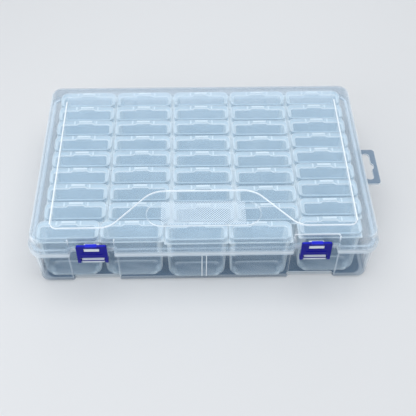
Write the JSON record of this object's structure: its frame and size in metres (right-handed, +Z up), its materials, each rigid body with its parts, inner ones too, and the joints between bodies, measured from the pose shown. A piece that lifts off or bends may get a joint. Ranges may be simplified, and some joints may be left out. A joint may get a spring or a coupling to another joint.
{
  "type": "compartment organizer box",
  "caption": "Clear plastic organizer box with a hinged lid, two blue side latches and a hang tab, holding a grid of small flip-top containers.",
  "frame": {"origin": "middle of the tub's underside, on the surface that the box stands on", "axes": "+Z up, +X along the long side with the hang tab at its +X end, -Y towards the latches and +Y towards the lid's hinges"},
  "size_m": [0.3754, 0.2452, 0.0752],
  "materials": {
    "clear_shell": "glossy natural translucent polypropylene",
    "frosted_container": "satin milky translucent polypropylene",
    "blue_latch": "satin deep blue polypropylene"
  },
  "bodies": {
    "base": {"tub": "clear_shell", "container_r1_c1": "frosted_container", "container_r1_c2": "frosted_container", "container_r1_c3": "frosted_container", "container_r1_c4": "frosted_container", "container_r1_c5": "frosted_container", "container_r2_c1": "frosted_container", "container_r2_c2": "frosted_container", "container_r2_c3": "frosted_container", "container_r2_c4": "frosted_container", "container_r2_c5": "frosted_container", "container_r3_c1": "frosted_container", "container_r3_c2": "frosted_container", "container_r3_c3": "frosted_container", "container_r3_c4": "frosted_container", "container_r3_c5": "frosted_container", "container_r4_c1": "frosted_container", "container_r4_c2": "frosted_container", "container_r4_c3": "frosted_container", "container_r4_c4": "frosted_container", "container_r4_c5": "frosted_container", "container_r5_c1": "frosted_container", "container_r5_c2": "frosted_container", "container_r5_c3": "frosted_container", "container_r5_c4": "frosted_container", "container_r5_c5": "frosted_container", "container_r6_c1": "frosted_container", "container_r6_c2": "frosted_container", "container_r6_c3": "frosted_container", "container_r6_c4": "frosted_container", "container_r6_c5": "frosted_container", "container_r7_c1": "frosted_container", "container_r7_c2": "frosted_container", "container_r7_c3": "frosted_container", "container_r7_c4": "frosted_container", "container_r7_c5": "frosted_container", "container_r8_c1": "frosted_container", "container_r8_c2": "frosted_container", "container_r8_c3": "frosted_container", "container_r8_c4": "frosted_container", "container_r8_c5": "frosted_container", "container_r9_c1": "frosted_container", "container_r9_c2": "frosted_container", "container_r9_c3": "frosted_container", "container_r9_c4": "frosted_container", "container_r9_c5": "frosted_container"},
    "lid": {"lid": "clear_shell"},
    "latch_left": {"latch_left": "blue_latch"},
    "latch_right": {"latch_right": "blue_latch"}
  },
  "joints": [
    {"name": "lid_hinge", "type": "hinge", "parent": "base", "child": "lid", "pos_m": [0, 0.1226, 0.05], "axis": [-1, 0, 0], "range_deg": [0, 180]},
    {"name": "latch_left_hinge", "type": "hinge", "parent": "base", "child": "latch_left", "pos_m": [-0.11311, -0.11547, 0.0418], "axis": [1, 0, 0], "range_deg": [0, 170]},
    {"name": "latch_right_hinge", "type": "hinge", "parent": "base", "child": "latch_right", "pos_m": [0.11311, -0.11547, 0.0418], "axis": [1, 0, 0], "range_deg": [0, 170]}
  ]
}
